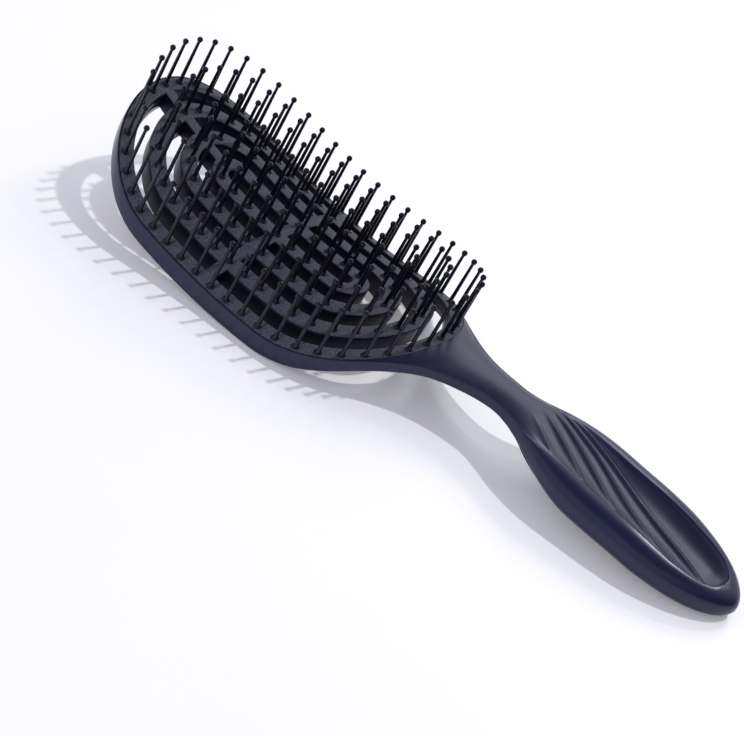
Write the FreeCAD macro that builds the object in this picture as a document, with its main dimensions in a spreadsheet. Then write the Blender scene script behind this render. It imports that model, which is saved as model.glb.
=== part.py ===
import FreeCAD, Part
import math
import os
import Sketcher

# A vented detangling brush lying on its back, pins up, in millimetres.
# It is drawn about the middle of the head: +X runs to the handle, +Z along the pins.
# At the end every piece is tipped by the rest pitch, so that the rim and the heel of the grip lie on the floor.

doc = FreeCAD.newDocument("detangling_brush")
V = FreeCAD.Vector
X_AXIS = V(1, 0, 0)
Y_AXIS = V(0, 1, 0)
Z_AXIS = V(0, 0, 1)
ORIGIN = V(0, 0, 0)

# Driving dimensions: name, value and meaning.
SIZES = [
    ("head_half_width", 37.5, "half the width of the head"),
    ("head_straight", 45.6, "straight length between the head's two round ends"),
    ("bow_radius", 194.0, "lengthwise hollow of the pin face"),
    ("crown_radius", 87.0, "crosswise crown of the pin face"),
    ("inner_row", 5.2, "long axis to the inner ring's pin row"),
    ("row_margin", 2.5, "outer ring's pin row to the edge of the head"),
    ("slot_width", 4.4, "width of the vent slots between the rings"),
    ("ring_depth", 5.2, "depth of a ring bed"),
    ("seat_depth", 2.5, "pin face down to the ledge and the rib tops"),
    ("rim_depth", 5.7, "pin face down to the bottom of the rim"),
    ("rim_lip", 0.7, "thickness of the rim round the outer ring"),
    ("rib_width", 4.0, "width of the ribs under the rings"),
    ("fit_gap", 0.1, "gap round a ring or the inlay in its seat"),
    ("pin_length", 17.2, "pin face to the tip of a pin"),
    ("pin_root", 1.5, "shaft diameter at the root"),
    ("pin_neck", 1.1, "shaft diameter under the ball"),
    ("pin_ball", 2.2, "diameter of the ball tip"),
    ("inner_pin_count", 20, "pins on the inner ring"),
    ("added_pin_count", 10, "pins that each larger ring adds"),
    ("panel_start", 86.0, "head centre to the neck end of the grip inlay"),
    ("panel_end", 163.5, "head centre to the heel end of the grip inlay"),
    ("panel_half", 12.5, "half the width of the grip inlay"),
    ("panel_floor", 9.8, "height of the pocket that the inlay lies in"),
    ("panel_thick", 2.8, "thickness of the inlay"),
    ("flute_count", 6, "wave flutes in the grip inlay"),
    ("flute_radius", 3.2, "radius of a wave flute"),
    ("flute_depth", 1.0, "depth of a wave flute"),
    ("flute_pitch", 12.8, "flute to flute along the grip"),
    ("flute_angle", -18.0, "slant of the flutes in plan, degrees"),
    ("floor_land", 0.35, "depth of the flats that touch the floor"),
    ("reach", 60.0, "height that a cutting block reaches past the part"),
]

# The handle's sections: name, distance from the head's middle, half width, half thickness,
# half height of the side walls and height of the middle.
SECTIONS = [
    ("shoulder", 46.0, 28.0, 6.3, 2.1, -1.4),
    ("yoke", 54.8, 21.1, 3.8, 1.2, 4.0),
    ("throat", 62.0, 15.0, 3.2, 1.2, 5.8),
    ("taper", 72.0, 9.8, 3.1, 1.3, 7.2),
    ("neck", 84.7, 7.3, 3.1, 1.4, 8.9),
    ("flare", 95.0, 10.2, 4.0, 2.0, 9.3),
    ("swell", 106.0, 15.0, 5.2, 3.0, 8.8),
    ("belly", 119.0, 18.0, 6.5, 4.0, 8.1),
    ("palm", 138.0, 17.8, 6.4, 4.0, 8.9),
    ("heel", 155.0, 14.2, 5.8, 3.6, 8.9),
    ("tail", 164.5, 9.0, 4.6, 2.8, 8.8),
    ("tip", 168.6, 4.3, 2.7, 1.5, 8.8),
    ("end", 169.7, 1.3, 1.0, 0.5, 8.8),
]

sheet = doc.addObject("Spreadsheet::Sheet", "sizes")
rows = [(name, value) for name, value, meaning in SIZES]
for name, along, half_width, half_thick, half_wall, middle in SECTIONS:
    rows.append((name + "_along", along))
    rows.append((name + "_half_width", half_width))
    rows.append((name + "_half_thick", half_thick))
    rows.append((name + "_half_wall", half_wall))
    rows.append((name + "_middle", middle))
for number, (name, value) in enumerate(rows, start=1):
    sheet.set("A%d" % number, name)
    sheet.set("B%d" % number, str(value))
    sheet.setAlias("B%d" % number, name)
doc.recompute()


def size(name):
    return float(sheet.get(name))


def plane_of(body, role):
    return next(feature for feature in body.Origin.OriginFeatures if feature.Role == role)


def new_sketch(body, name, role):
    sketch = body.newObject("Sketcher::SketchObject", name)
    sketch.AttachmentSupport = (plane_of(body, role), [""])
    sketch.MapMode = "FlatFace"
    return sketch


def bind(sketch, constraint, name, expression):
    number = sketch.addConstraint(constraint)
    sketch.renameConstraint(number, name)
    sketch.setExpression("Constraints." + name, expression)


# Saddle layers of the head

def face_height(point):
    """Height of the pin face: hollow along the head, crowned across it."""
    return point.x ** 2 / (2 * size("bow_radius")) - point.y ** 2 / (2 * size("crown_radius"))


def saddle_layer(name, above, below):
    """A slab between two copies of the pin face: above and below are depths under it."""
    half_length = size("head_straight") / 2 + size("head_half_width") + size("slot_width")
    half_width = size("head_half_width") + size("slot_width")
    rise = half_length ** 2 / (2 * size("bow_radius"))
    drop = half_width ** 2 / (2 * size("crown_radius"))
    patch = Part.BezierSurface()
    patch.increase(2, 2)
    for row, (x, x_sign) in enumerate(((-half_length, 1), (0, -1), (half_length, 1)), start=1):
        for column, (y, y_sign) in enumerate(((-half_width, 1), (0, -1), (half_width, 1)), start=1):
            patch.setPole(row, column, V(x, y, x_sign * rise - y_sign * drop - above))
    layer = doc.addObject("Part::Feature", name)
    layer.Shape = patch.toShape().extrude(V(0, 0, above - below))
    return layer


# Upright prisms over the oval outlines of the head

def add_oval(sketch, name, expression, radius):
    """An oval of two round ends and two straights: its end radius follows the expression."""
    first = sketch.GeometryCount
    middle = size("head_straight") / 2
    quarter = math.pi / 2
    sketch.addGeometry(Part.LineSegment(V(middle, radius, 0), V(-middle, radius, 0)), False)
    sketch.addGeometry(Part.ArcOfCircle(Part.Circle(V(-middle, 0, 0), Z_AXIS, radius), quarter, 3 * quarter), False)
    sketch.addGeometry(Part.LineSegment(V(-middle, -radius, 0), V(middle, -radius, 0)), False)
    sketch.addGeometry(Part.ArcOfCircle(Part.Circle(V(middle, 0, 0), Z_AXIS, radius), -quarter, quarter), False)
    far, left, near, right = range(first, first + 4)
    for pair in ((far, 2, left, 1), (left, 2, near, 1), (near, 2, right, 1), (right, 2, far, 1)):
        sketch.addConstraint(Sketcher.Constraint("Tangent", *pair))
    sketch.addConstraint(Sketcher.Constraint("Symmetric", left, 3, right, 3, -1, 1))
    sketch.addConstraint(Sketcher.Constraint("PointOnObject", right, 3, -1))
    bind(sketch, Sketcher.Constraint("DistanceX", left, 3, right, 3, 2 * middle), name + "_straight",
         "sizes.head_straight")
    bind(sketch, Sketcher.Constraint("Radius", right, radius), name + "_radius", expression)


def oval_prism(name, *ovals):
    """A tall prism over one oval, or between two: each oval is a radius and its expression."""
    body = doc.addObject("PartDesign::Body", name)
    sketch = new_sketch(body, name + "_plan", "XY_Plane")
    for number, (radius, expression) in enumerate(ovals):
        add_oval(sketch, "oval%d" % number, expression, radius)
    pad = body.newObject("PartDesign::Pad", name + "_pad")
    pad.Profile = sketch
    pad.Midplane = True
    pad.setExpression("Length", "2 * sizes.reach")
    return body


def boolean(kind, name, base, tool):
    result = doc.addObject("Part::" + kind, name)
    result.Base = base
    result.Tool = tool
    return result


def bar(name, along, across, start_x, start_y):
    """A tall upright bar: along and across are its plan sizes, start_x and start_y its corner."""
    block = doc.addObject("Part::Box", name)
    block.setExpression("Length", along)
    block.setExpression("Width", across)
    block.setExpression("Height", "2 * sizes.reach")
    block.setExpression("Placement.Base.x", start_x)
    block.setExpression("Placement.Base.y", start_y)
    block.setExpression("Placement.Base.z", "-sizes.reach")
    return block


ring_layer = saddle_layer("ring_layer", 0, size("ring_depth"))
seat_layer = saddle_layer("seat_layer", 0, size("seat_depth"))
rim_layer = saddle_layer("rim_layer", 0, size("rim_depth"))
rib_layer = saddle_layer("rib_layer", size("seat_depth"), 2 * size("rim_depth"))
clear_layer = saddle_layer("clear_layer", -size("pin_length"), size("seat_depth"))

# The ribs bridge the slots flush with the pin face and run under the rings, half lapped with them:
# one across the middle, one from the head's end to the inner ring.
HEAD_END = "-(sizes.head_straight / 2 + sizes.head_half_width)"


def rib_bars(name, extra):
    cross = bar(name + "_cross", "sizes.rib_width + 2 * (%s)" % extra, "2 * sizes.head_half_width",
                "-(sizes.rib_width / 2 + %s)" % extra, "-sizes.head_half_width")
    spine = bar(name + "_spine", "sizes.head_half_width - sizes.inner_row", "sizes.rib_width + 2 * (%s)" % extra,
                HEAD_END, "-(sizes.rib_width / 2 + %s)" % extra)
    return boolean("Fuse", name, cross, spine)


rib_plan = rib_bars("rib_plan", "0")
notch_plan = rib_bars("notch_plan", "sizes.fit_gap")
notches = boolean("Common", "notches", rib_layer, notch_plan)

# Ring beds, from the inner one out

RING_NAMES = ["inner_ring", "third_ring", "second_ring", "outer_ring"]
LAST_RING = len(RING_NAMES) - 1
ROW_STEP = "(sizes.head_half_width - sizes.row_margin - sizes.inner_row) / %d" % LAST_RING
row_step = (size("head_half_width") - size("row_margin") - size("inner_row")) / LAST_RING


def row_radius(number):
    return size("inner_row") + number * row_step


def row_text(number):
    return "(sizes.inner_row + %d * %s)" % (number, ROW_STEP)


# A ring takes what the slots leave of the step from row to row.
half_ring = (row_step - size("slot_width")) / 2
HALF_RING = "((%s - sizes.slot_width) / 2)" % ROW_STEP
sub_parts = []
seats = []
for number, name in enumerate(RING_NAMES[:LAST_RING]):
    row = row_radius(number)
    gap = size("fit_gap")
    plan = oval_prism(name + "_oval", (row + half_ring, row_text(number) + " + " + HALF_RING),
                      (row - half_ring, row_text(number) + " - " + HALF_RING))
    blank = boolean("Common", name + "_blank", ring_layer, plan)
    ring = boolean("Cut", name, blank, notches)
    sub_parts.append(ring)
    outside = (row + half_ring + gap, row_text(number) + " + " + HALF_RING + " + sizes.fit_gap")
    inside = (row - half_ring - gap, row_text(number) + " - " + HALF_RING + " - sizes.fit_gap")
    seats.append(oval_prism(name + "_seat", outside, inside))

LIP_TEXT = "sizes.head_half_width - sizes.rim_lip"
BORE_TEXT = row_text(LAST_RING) + " - " + HALF_RING
lip_radius = size("head_half_width") - size("rim_lip")
bore_radius = row_radius(LAST_RING) - half_ring
outer_plan = oval_prism("outer_ring_oval", (lip_radius - size("fit_gap"), LIP_TEXT + " - sizes.fit_gap"),
                        (bore_radius, BORE_TEXT))
sub_parts.append(boolean("Common", "outer_ring", seat_layer, outer_plan))

# Handle frame: rim, ribs, neck and grip in one moulding

outline = oval_prism("outline", (size("head_half_width"), "sizes.head_half_width"))
rim_blank = boolean("Common", "rim_blank", rim_layer, outline)

grip_body = doc.addObject("PartDesign::Body", "grip_body")


def section_sketch(name):
    """One section of the handle: an upper and a lower arc, joined by two upright side walls."""
    sketch = new_sketch(grip_body, name + "_section", "YZ_Plane")
    sketch.setExpression("AttachmentOffset.Base.z", "sizes.%s_along" % name)
    half_width = size(name + "_half_width")
    half_thick = size(name + "_half_thick")
    middle = size(name + "_middle")
    wall = size(name + "_half_wall")
    rise = half_thick - wall
    radius = (half_width ** 2 + rise ** 2) / (2 * rise)
    sweep = math.asin(half_width / radius)
    quarter = math.pi / 2
    upper = Part.Circle(V(0, middle + half_thick - radius, 0), Z_AXIS, radius)
    lower = Part.Circle(V(0, middle - half_thick + radius, 0), Z_AXIS, radius)
    sketch.addGeometry(Part.ArcOfCircle(upper, quarter - sweep, quarter + sweep), False)
    sketch.addGeometry(Part.LineSegment(V(-half_width, middle + wall, 0), V(-half_width, middle - wall, 0)), False)
    sketch.addGeometry(Part.ArcOfCircle(lower, 3 * quarter - sweep, 3 * quarter + sweep), False)
    sketch.addGeometry(Part.LineSegment(V(half_width, middle - wall, 0), V(half_width, middle + wall, 0)), False)
    top, left, bottom, right = range(4)
    for pair in ((top, 2, left, 1), (left, 2, bottom, 1), (bottom, 2, right, 1), (right, 2, top, 1)):
        sketch.addConstraint(Sketcher.Constraint("Coincident", *pair))
    sketch.addConstraint(Sketcher.Constraint("Vertical", left))
    sketch.addConstraint(Sketcher.Constraint("Vertical", right))
    sketch.addConstraint(Sketcher.Constraint("Symmetric", top, 1, top, 2, -2))
    sketch.addConstraint(Sketcher.Constraint("Equal", top, bottom))
    sketch.addConstraint(Sketcher.Constraint("Equal", left, right))
    wide = "sizes.%s_half_width" % name
    bulge = "(sizes.%s_half_thick - sizes.%s_half_wall)" % (name, name)
    bind(sketch, Sketcher.Constraint("DistanceX", left, 1, right, 2, 2 * half_width), "width", "2 * " + wide)
    bind(sketch, Sketcher.Constraint("DistanceY", right, 1, right, 2, 2 * wall), "wall",
         "2 * sizes.%s_half_wall" % name)
    bind(sketch, Sketcher.Constraint("DistanceY", -1, 1, right, 2, middle + wall), "edge",
         "sizes.%s_middle + sizes.%s_half_wall" % (name, name))
    bind(sketch, Sketcher.Constraint("Radius", top, radius), "arch",
         "(%s ^ 2 + %s ^ 2) / (2 * %s)" % (wide, bulge, bulge))
    return sketch


stations = [section_sketch(section[0]) for section in SECTIONS]
grip_loft = grip_body.newObject("PartDesign::AdditiveLoft", "grip_loft")
grip_loft.Profile = stations[0]
grip_loft.Sections = stations[1:]

moulding = boolean("Fuse", "moulding", rim_blank, grip_body)
bore = oval_prism("bore", (bore_radius, BORE_TEXT))
vents = boolean("Cut", "vents", bore, rib_plan)
vented = boolean("Cut", "vented", moulding, vents)
seats.append(oval_prism("outer_ring_seat", (lip_radius, LIP_TEXT),
                        (bore_radius - size("fit_gap"), BORE_TEXT + " - sizes.fit_gap")))
seat_plan = doc.addObject("Part::MultiFuse", "seat_plan")
seat_plan.Shapes = seats
bed_seat = boolean("Common", "bed_seat", clear_layer, seat_plan)
seated = boolean("Cut", "seated", vented, bed_seat)

# The grip inlay is a pointed oval plate in a pocket of its own, crossed by slanted wave flutes.

def pointed_oval(name, inset, inset_text, height):
    """A block over a pointed oval, from the floor of the pocket up: inset is the gap round it."""
    body = doc.addObject("PartDesign::Body", name)
    sketch = new_sketch(body, name + "_plan", "XY_Plane")
    sketch.setExpression("AttachmentOffset.Base.z", "sizes.panel_floor")
    start = size("panel_start") + inset
    finish = size("panel_end") - inset
    sag = size("panel_half") - inset
    radius = ((finish - start) ** 2 / 4 + sag ** 2) / (2 * sag)
    sweep = math.asin((finish - start) / 2 / radius)
    for side in (1, -1):
        centre = V((start + finish) / 2, side * (sag - radius), 0)
        facing = side * math.pi / 2
        arc = Part.ArcOfCircle(Part.Circle(centre, Z_AXIS, radius), facing - sweep, facing + sweep)
        sketch.addGeometry(arc, False)
    sketch.addConstraint(Sketcher.Constraint("Coincident", 0, 1, 1, 2))
    sketch.addConstraint(Sketcher.Constraint("Coincident", 0, 2, 1, 1))
    sketch.addConstraint(Sketcher.Constraint("PointOnObject", 0, 1, -1))
    sketch.addConstraint(Sketcher.Constraint("PointOnObject", 0, 2, -1))
    sketch.addConstraint(Sketcher.Constraint("Equal", 0, 1))
    length = "(sizes.panel_end - sizes.panel_start - 2 * %s)" % inset_text
    depth = "(sizes.panel_half - %s)" % inset_text
    bind(sketch, Sketcher.Constraint("DistanceX", -1, 1, 0, 2, start), "start", "sizes.panel_start + " + inset_text)
    bind(sketch, Sketcher.Constraint("DistanceX", -1, 1, 0, 1, finish), "finish", "sizes.panel_end - " + inset_text)
    bind(sketch, Sketcher.Constraint("Radius", 0, radius), "bulge",
         "(%s ^ 2 / 4 + %s ^ 2) / (2 * %s)" % (length, depth, depth))
    pad = body.newObject("PartDesign::Pad", name + "_pad")
    pad.Profile = sketch
    pad.setExpression("Length", height)
    return body


pocket = pointed_oval("inlay_pocket", 0, "0", "sizes.reach")
inlay_blank = pointed_oval("inlay_blank", size("fit_gap"), "sizes.fit_gap", "sizes.panel_thick")
pocketed = boolean("Cut", "pocketed", seated, pocket)

flutes = []
for number in range(int(size("flute_count"))):
    flute = doc.addObject("Part::Cylinder", "flute_%d" % (number + 1))
    flute.setExpression("Radius", "sizes.flute_radius")
    flute.setExpression("Height", "2 * sizes.reach")
    slant = FreeCAD.Rotation(Z_AXIS, size("flute_angle"))
    lie = FreeCAD.Rotation(Z_AXIS, X_AXIS)
    flute.Placement = FreeCAD.Placement(ORIGIN, slant.multiply(lie))
    step = number - (size("flute_count") - 1) / 2
    middle_text = "(sizes.panel_start + sizes.panel_end) / 2 + %s * sizes.flute_pitch" % step
    flute.setExpression("Placement.Base.x", middle_text + " - sizes.reach * cos(sizes.flute_angle * 1 deg)")
    flute.setExpression("Placement.Base.y", "-sizes.reach * sin(sizes.flute_angle * 1 deg)")
    flute.setExpression("Placement.Base.z",
                        "sizes.panel_floor + sizes.panel_thick - sizes.flute_depth + sizes.flute_radius")
    flutes.append(flute)
waves = doc.addObject("Part::MultiFuse", "waves")
waves.Shapes = flutes
sub_parts.append(boolean("Cut", "grip_inlay", inlay_blank, waves))
doc.recompute()

# The floor touches the rim's bow and the underside of the heel: the line through both gives the rest pitch.
rim_bottom = -size("head_half_width") ** 2 / (2 * size("crown_radius")) - size("rim_depth")
heel_rise = size("heel_middle") - size("heel_half_thick") - rim_bottom
touch = size("heel_along") - math.sqrt(size("heel_along") ** 2 - 2 * size("bow_radius") * heel_rise)
pitch = math.atan(touch / size("bow_radius"))
touch_height = rim_bottom + touch ** 2 / (2 * size("bow_radius"))
floor_height = touch_height * math.cos(pitch) - touch * math.sin(pitch) + size("floor_land")
tip_back = FreeCAD.Rotation(Y_AXIS, math.degrees(-pitch))
tip_down = FreeCAD.Rotation(Y_AXIS, math.degrees(pitch))

floor_block = doc.addObject("Part::Box", "floor_block")
floor_block.setExpression("Length", "10 * sizes.reach")
floor_block.setExpression("Width", "4 * sizes.reach")
floor_block.setExpression("Height", "sizes.reach")
corner = V(-5 * size("reach"), -2 * size("reach"), floor_height - size("reach"))
floor_block.Placement = FreeCAD.Placement(tip_back.multVec(corner), tip_back)
handle_frame = boolean("Cut", "handle_frame", pocketed, floor_block)
sub_parts.append(handle_frame)
doc.recompute()

# Pins: six sided, with a ball tip, set round each ring at even steps; the foot lies on the pin face

def standing_pin(point):
    root = size("pin_root") / 2
    neck = size("pin_neck") / 2
    ball = size("pin_ball") / 2
    length = size("pin_length")
    slope = V(point.x / size("bow_radius"), -point.y / size("crown_radius"), 0)
    rings = [[], [], [], []]
    for corner in range(6):
        turn = math.radians(60 * corner)
        ray = V(math.cos(turn), math.sin(turn), 0)
        shoulder = length - 2 * ball
        taper = (neck - root) / shoulder
        lift = root * slope.dot(ray) / (1 - taper * slope.dot(ray))
        rings[0].append(point + ray * (root + taper * lift) + V(0, 0, lift))
        rings[1].append(point + ray * neck + V(0, 0, shoulder))
        rings[2].append(point + ray * ball + V(0, 0, length - ball))
        rings[3].append(point + ray * (ball / 2) + V(0, 0, length))
    faces = [Part.Face(Part.makePolygon(ring + ring[:1])) for ring in (rings[0], rings[3])]
    for low, high in zip(rings, rings[1:]):
        for here in range(6):
            there = (here + 1) % 6
            faces.append(Part.Face(Part.makePolygon([low[here], low[there], high[there], high[here], low[here]])))
    return Part.Solid(Part.Shell(faces))


def oval_point(radius, travel):
    """The plan point at a distance along an oval, from the middle of its near side towards the head's end."""
    straight = size("head_straight")
    arc = math.pi * radius
    travel = travel % (2 * straight + 2 * arc)
    if travel <= straight / 2:
        return V(-travel, -radius, 0)
    travel -= straight / 2
    if travel <= arc:
        turn = -math.pi / 2 - travel / radius
        return V(-straight / 2 + radius * math.cos(turn), radius * math.sin(turn), 0)
    travel -= arc
    if travel <= straight:
        return V(-straight / 2 + travel, radius, 0)
    travel -= straight
    if travel <= arc:
        turn = math.pi / 2 - travel / radius
        return V(straight / 2 + radius * math.cos(turn), radius * math.sin(turn), 0)
    return V(straight / 2 - (travel - arc), -radius, 0)


for number, name in enumerate(RING_NAMES):
    radius = row_radius(number)
    count = int(size("inner_pin_count") + number * size("added_pin_count"))
    spacing = (2 * size("head_straight") + 2 * math.pi * radius) / count
    stagger = (number % 2) * spacing / 2
    pins = []
    for index in range(count):
        point = oval_point(radius, stagger + index * spacing)
        point.z = face_height(point)
        pins.append(standing_pin(point))
    group = doc.addObject("Part::Feature", name + "_pins")
    group.Shape = Part.makeCompound(pins)
    sub_parts.append(group)

# Rest pose: tipped onto the floor, with the origin under the middle of the whole box
tipped = FreeCAD.Placement(ORIGIN, tip_down)
boxes = []
for piece in sub_parts:
    shape = piece.Shape.copy()
    shape.Placement = tipped.multiply(shape.Placement)
    boxes.append(shape.optimalBoundingBox(False))
middle = (min(box.XMin for box in boxes) + max(box.XMax for box in boxes)) / 2
rest = FreeCAD.Placement(V(-middle, 0, -floor_height), tip_down)
for piece in sub_parts:
    piece.Placement = rest
doc.recompute()

for item in doc.Objects:
    if "Invalid" in item.State or "Error" in item.State:
        raise RuntimeError("failed: " + item.Label)
for piece in sub_parts:
    if piece.Shape.isNull() or not piece.Shape.isValid():
        raise RuntimeError("bad shape: " + piece.Label)

os.makedirs("parts", exist_ok=True)
for piece in sub_parts:
    box = piece.Shape.optimalBoundingBox(False)
    print("%-18s solids %3d  volume %8.1f  z %6.2f to %6.2f" % (
        piece.Label, len(piece.Shape.Solids), piece.Shape.Volume, box.ZMin, box.ZMax))
    piece.Shape.exportStep("parts/%s.step" % piece.Label)
print("rest pitch %.2f degrees, shift %.2f, %.2f" % (math.degrees(pitch), -middle, -floor_height))
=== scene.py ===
# %% [markdown]
# # A vented detangling brush
# The brush lies on its back with its pins up: an open oval head of four ring beds, 140 ball-tipped pins,
# and a rim that runs through a slim neck into a fluted grip.
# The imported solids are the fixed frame. This script lays the smooth, finished surfaces over them,
# piece by piece, from the same few sizes, and then gives every surface its finish.

# %% Load the frame
import bpy
import bmesh
import math
import numpy as np
from mathutils import Matrix, Vector


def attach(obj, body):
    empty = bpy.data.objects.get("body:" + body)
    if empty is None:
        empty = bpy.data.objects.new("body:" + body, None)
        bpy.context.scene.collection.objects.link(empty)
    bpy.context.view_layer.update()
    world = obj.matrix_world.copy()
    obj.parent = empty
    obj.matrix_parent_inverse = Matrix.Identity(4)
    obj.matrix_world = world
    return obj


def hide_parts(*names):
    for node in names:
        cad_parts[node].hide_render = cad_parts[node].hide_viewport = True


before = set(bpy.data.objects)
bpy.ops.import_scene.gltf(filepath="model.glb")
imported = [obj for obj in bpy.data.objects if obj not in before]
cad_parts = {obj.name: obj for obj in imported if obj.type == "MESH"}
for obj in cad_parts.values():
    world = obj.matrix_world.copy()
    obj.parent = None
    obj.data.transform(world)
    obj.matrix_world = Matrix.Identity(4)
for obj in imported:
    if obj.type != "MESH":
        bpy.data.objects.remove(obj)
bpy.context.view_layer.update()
print("frame nodes:", sorted(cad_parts))

# %% [markdown]
# ## One drawing frame
# The brush is drawn in millimetres about the middle of its head, with +X along the handle and +Z along the pins.
# Lying on its back it is tipped a little, because the rim's bow and the heel of the grip touch the floor.
# One small function turns drawing points into the part's own frame in metres,
# so every piece below can be drawn level, which is much easier to read.

# %% From the drawing to the part's frame
REST_PITCH = math.radians(6.706)
REST_ALONG = -55.11
REST_UP = 14.67
TIP = np.array([[math.cos(REST_PITCH), 0, math.sin(REST_PITCH)],
                [0, 1, 0],
                [-math.sin(REST_PITCH), 0, math.cos(REST_PITCH)]])


def to_part(points):
    """Drawing points in millimetres as part points in metres."""
    moved = np.asarray(points, float).reshape(-1, 3) @ TIP.T + np.array([REST_ALONG, 0, REST_UP])
    return moved / 1000


print("head middle lies at", np.round(to_part((0, 0, 0))[0], 4))

# %% [markdown]
# ## Camera
# The picture was taken from the near side, a little towards the heel, looking down at about 36 degrees,
# with the camera rolled so that the brush runs across the picture.
# The ring ovals and the pin rows fix that view well, so its angles are written here as plain numbers.

# %% Camera
PICTURE_WIDE = 744
SENSOR_WIDE = 36.0
VIEW_TURN = math.radians(20.10)
VIEW_LIFT = math.radians(35.95)
VIEW_ROLL = math.radians(31.11)
VIEW_REACH = 633.48
VIEW_FOCUS = 2269.75
AIM = np.array([52.2, -20.72, 0.0])

back = np.array([math.sin(VIEW_TURN) * math.cos(VIEW_LIFT), -math.cos(VIEW_TURN) * math.cos(VIEW_LIFT),
                 math.sin(VIEW_LIFT)])
level = np.array([math.cos(VIEW_TURN), math.sin(VIEW_TURN), 0.0])
rise = np.cross(back, level)
across = math.cos(VIEW_ROLL) * level + math.sin(VIEW_ROLL) * rise
upward = -math.sin(VIEW_ROLL) * level + math.cos(VIEW_ROLL) * rise

camera_data = bpy.data.cameras.new("picture_camera")
camera_data.sensor_fit = "HORIZONTAL"
camera_data.sensor_width = SENSOR_WIDE
camera_data.lens = VIEW_FOCUS * SENSOR_WIDE / PICTURE_WIDE
camera_data.clip_end = 20.0
camera = bpy.data.objects.new("picture_camera", camera_data)
stand = to_part(AIM + VIEW_REACH * back)[0]
axes = TIP @ np.column_stack([across, upward, back])
pose = np.eye(4)
pose[:3, :3] = axes
pose[:3, 3] = stand
camera.matrix_world = Matrix(pose.tolist())
bpy.context.scene.collection.objects.link(camera)
bpy.context.scene.camera = camera
print("camera stands at", np.round(stand, 3), "lens", round(camera_data.lens, 2))

# %% [markdown]
# ## Writing shader maths
# A finish is a small sum: a colour, a little variation, a bump. Wrapped sockets let such sums be written as
# ordinary Python expressions, and one method makes every other node, so each finish below reads like a recipe.

# %% Wrapped sockets
class Signal:
    """A socket that carries one value: arithmetic on it adds Math nodes to its material."""

    def __init__(self, finish, socket):
        self.finish = finish
        self.socket = socket

    def _sum(self, operation, first, second):
        return self.finish.node("ShaderNodeMath", {"operation": operation}, {0: first, 1: second})

    def __add__(self, other):
        return self._sum("ADD", self, other)

    __radd__ = __add__

    def __sub__(self, other):
        return self._sum("SUBTRACT", self, other)

    def __rsub__(self, other):
        return self._sum("SUBTRACT", other, self)

    def __mul__(self, other):
        return self._sum("MULTIPLY", self, other)

    __rmul__ = __mul__

    def clipped(self):
        return self.finish.node("ShaderNodeClamp", {}, {"Value": self})


class Finish:
    """The nodes of one material or world: node() makes a node, sets it up and fills its sockets."""

    def __init__(self, owner):
        self.owner = owner
        owner.use_nodes = True
        self.tree = owner.node_tree
        self.tree.nodes.clear()

    def node(self, kind, settings, sockets, out=0):
        made = self.tree.nodes.new(kind)
        for key, value in settings.items():
            setattr(made, key, value)
        for key, value in sockets.items():
            if isinstance(value, Signal):
                self.tree.links.new(value.socket, made.inputs[key])
            else:
                made.inputs[key].default_value = value
        return Signal(self, made.outputs[out]) if made.outputs else made

    def place(self):
        return self.node("ShaderNodeTexCoord", {}, {}, "Object")

    def noise(self, scale, detail=2.0):
        return self.node("ShaderNodeTexNoise", {}, {"Vector": self.place(), "Scale": scale, "Detail": detail}, "Fac")

    def blend(self, amount, first, second):
        """A colour between two colours."""
        return self.node("ShaderNodeMix", {"data_type": "RGBA"}, {0: amount, 6: first, 7: second}, 2)

    def bump(self, height, distance, strength=1.0):
        return self.node("ShaderNodeBump", {}, {"Height": height, "Distance": distance, "Strength": strength})

    def surface(self, sockets):
        """The plastic itself, wired to the output."""
        plastic = self.node("ShaderNodeBsdfPrincipled", {}, sockets)
        self.node("ShaderNodeOutputMaterial", {}, {"Surface": plastic})
        return self.owner


print("shader helpers ready")

# %% [markdown]
# ## Finishes
# The brush is moulded in one blue-black plastic. It looks different from place to place because of its surface:
# the rim, neck and grip are smooth and satin, the ring faces carry a fine grain that scatters light,
# and the nylon pins are polished. So the three finishes share a hue, and differ in roughness and bump. The ring finish
# also paints shade: faces that don't look up are near black, and upward faces get the lighter grey.
# Reflections on it look bluish, which a faint tint of the reflections gives. One material serves the rim, the neck,
# the grip and its panel: a "grained" value on the points says where it is dull.

# %% Satin plastic of the rim, neck and grip
SHEEN = (0.80, 0.83, 1.0, 1)
SMOOTH_BLUES = (0.009, 0.010, 0.034, 1), (0.014, 0.015, 0.048, 1)
DULL_BLUES = (0.008, 0.009, 0.028, 1), (0.013, 0.014, 0.040, 1)
GRIP_GRAIN = 0.00005


def satin_plastic():
    finish = Finish(bpy.data.materials.new("satin_plastic"))
    grained = finish.node("ShaderNodeAttribute", {"attribute_name": "grained"}, {}, "Fac")
    cloud = finish.noise(60.0, 3.0)
    grain = finish.noise(1700.0, 3.0)
    smooth = finish.blend(cloud, *SMOOTH_BLUES)
    dull = finish.blend(cloud, *DULL_BLUES)
    colour = finish.blend(grained, smooth, dull)
    rough = 0.17 + 0.06 * cloud + 0.16 * grained
    return finish.surface({"Base Color": colour, "Roughness": rough, "IOR": 1.5, "Specular Tint": SHEEN,
                           "Normal": finish.bump(grain * grained, GRIP_GRAIN, 0.5)})


SATIN = satin_plastic()
print("made", SATIN.name)

# %% Grained plastic of the ring faces, with painted shade on all faces that don't look up
# Face greys run from the dark grain up to bright specks, which are partly painted glints.
FACE_GREYS = (0.020, 0.020, 0.034, 1), (0.125, 0.126, 0.160, 1)
# Near-black painted shade for slot walls, bed and rib sides, and undersides.
PAINTED_SHADE_SIDES = (0.003, 0.003, 0.012, 1)
FACE_GRAIN = 0.00012


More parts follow.
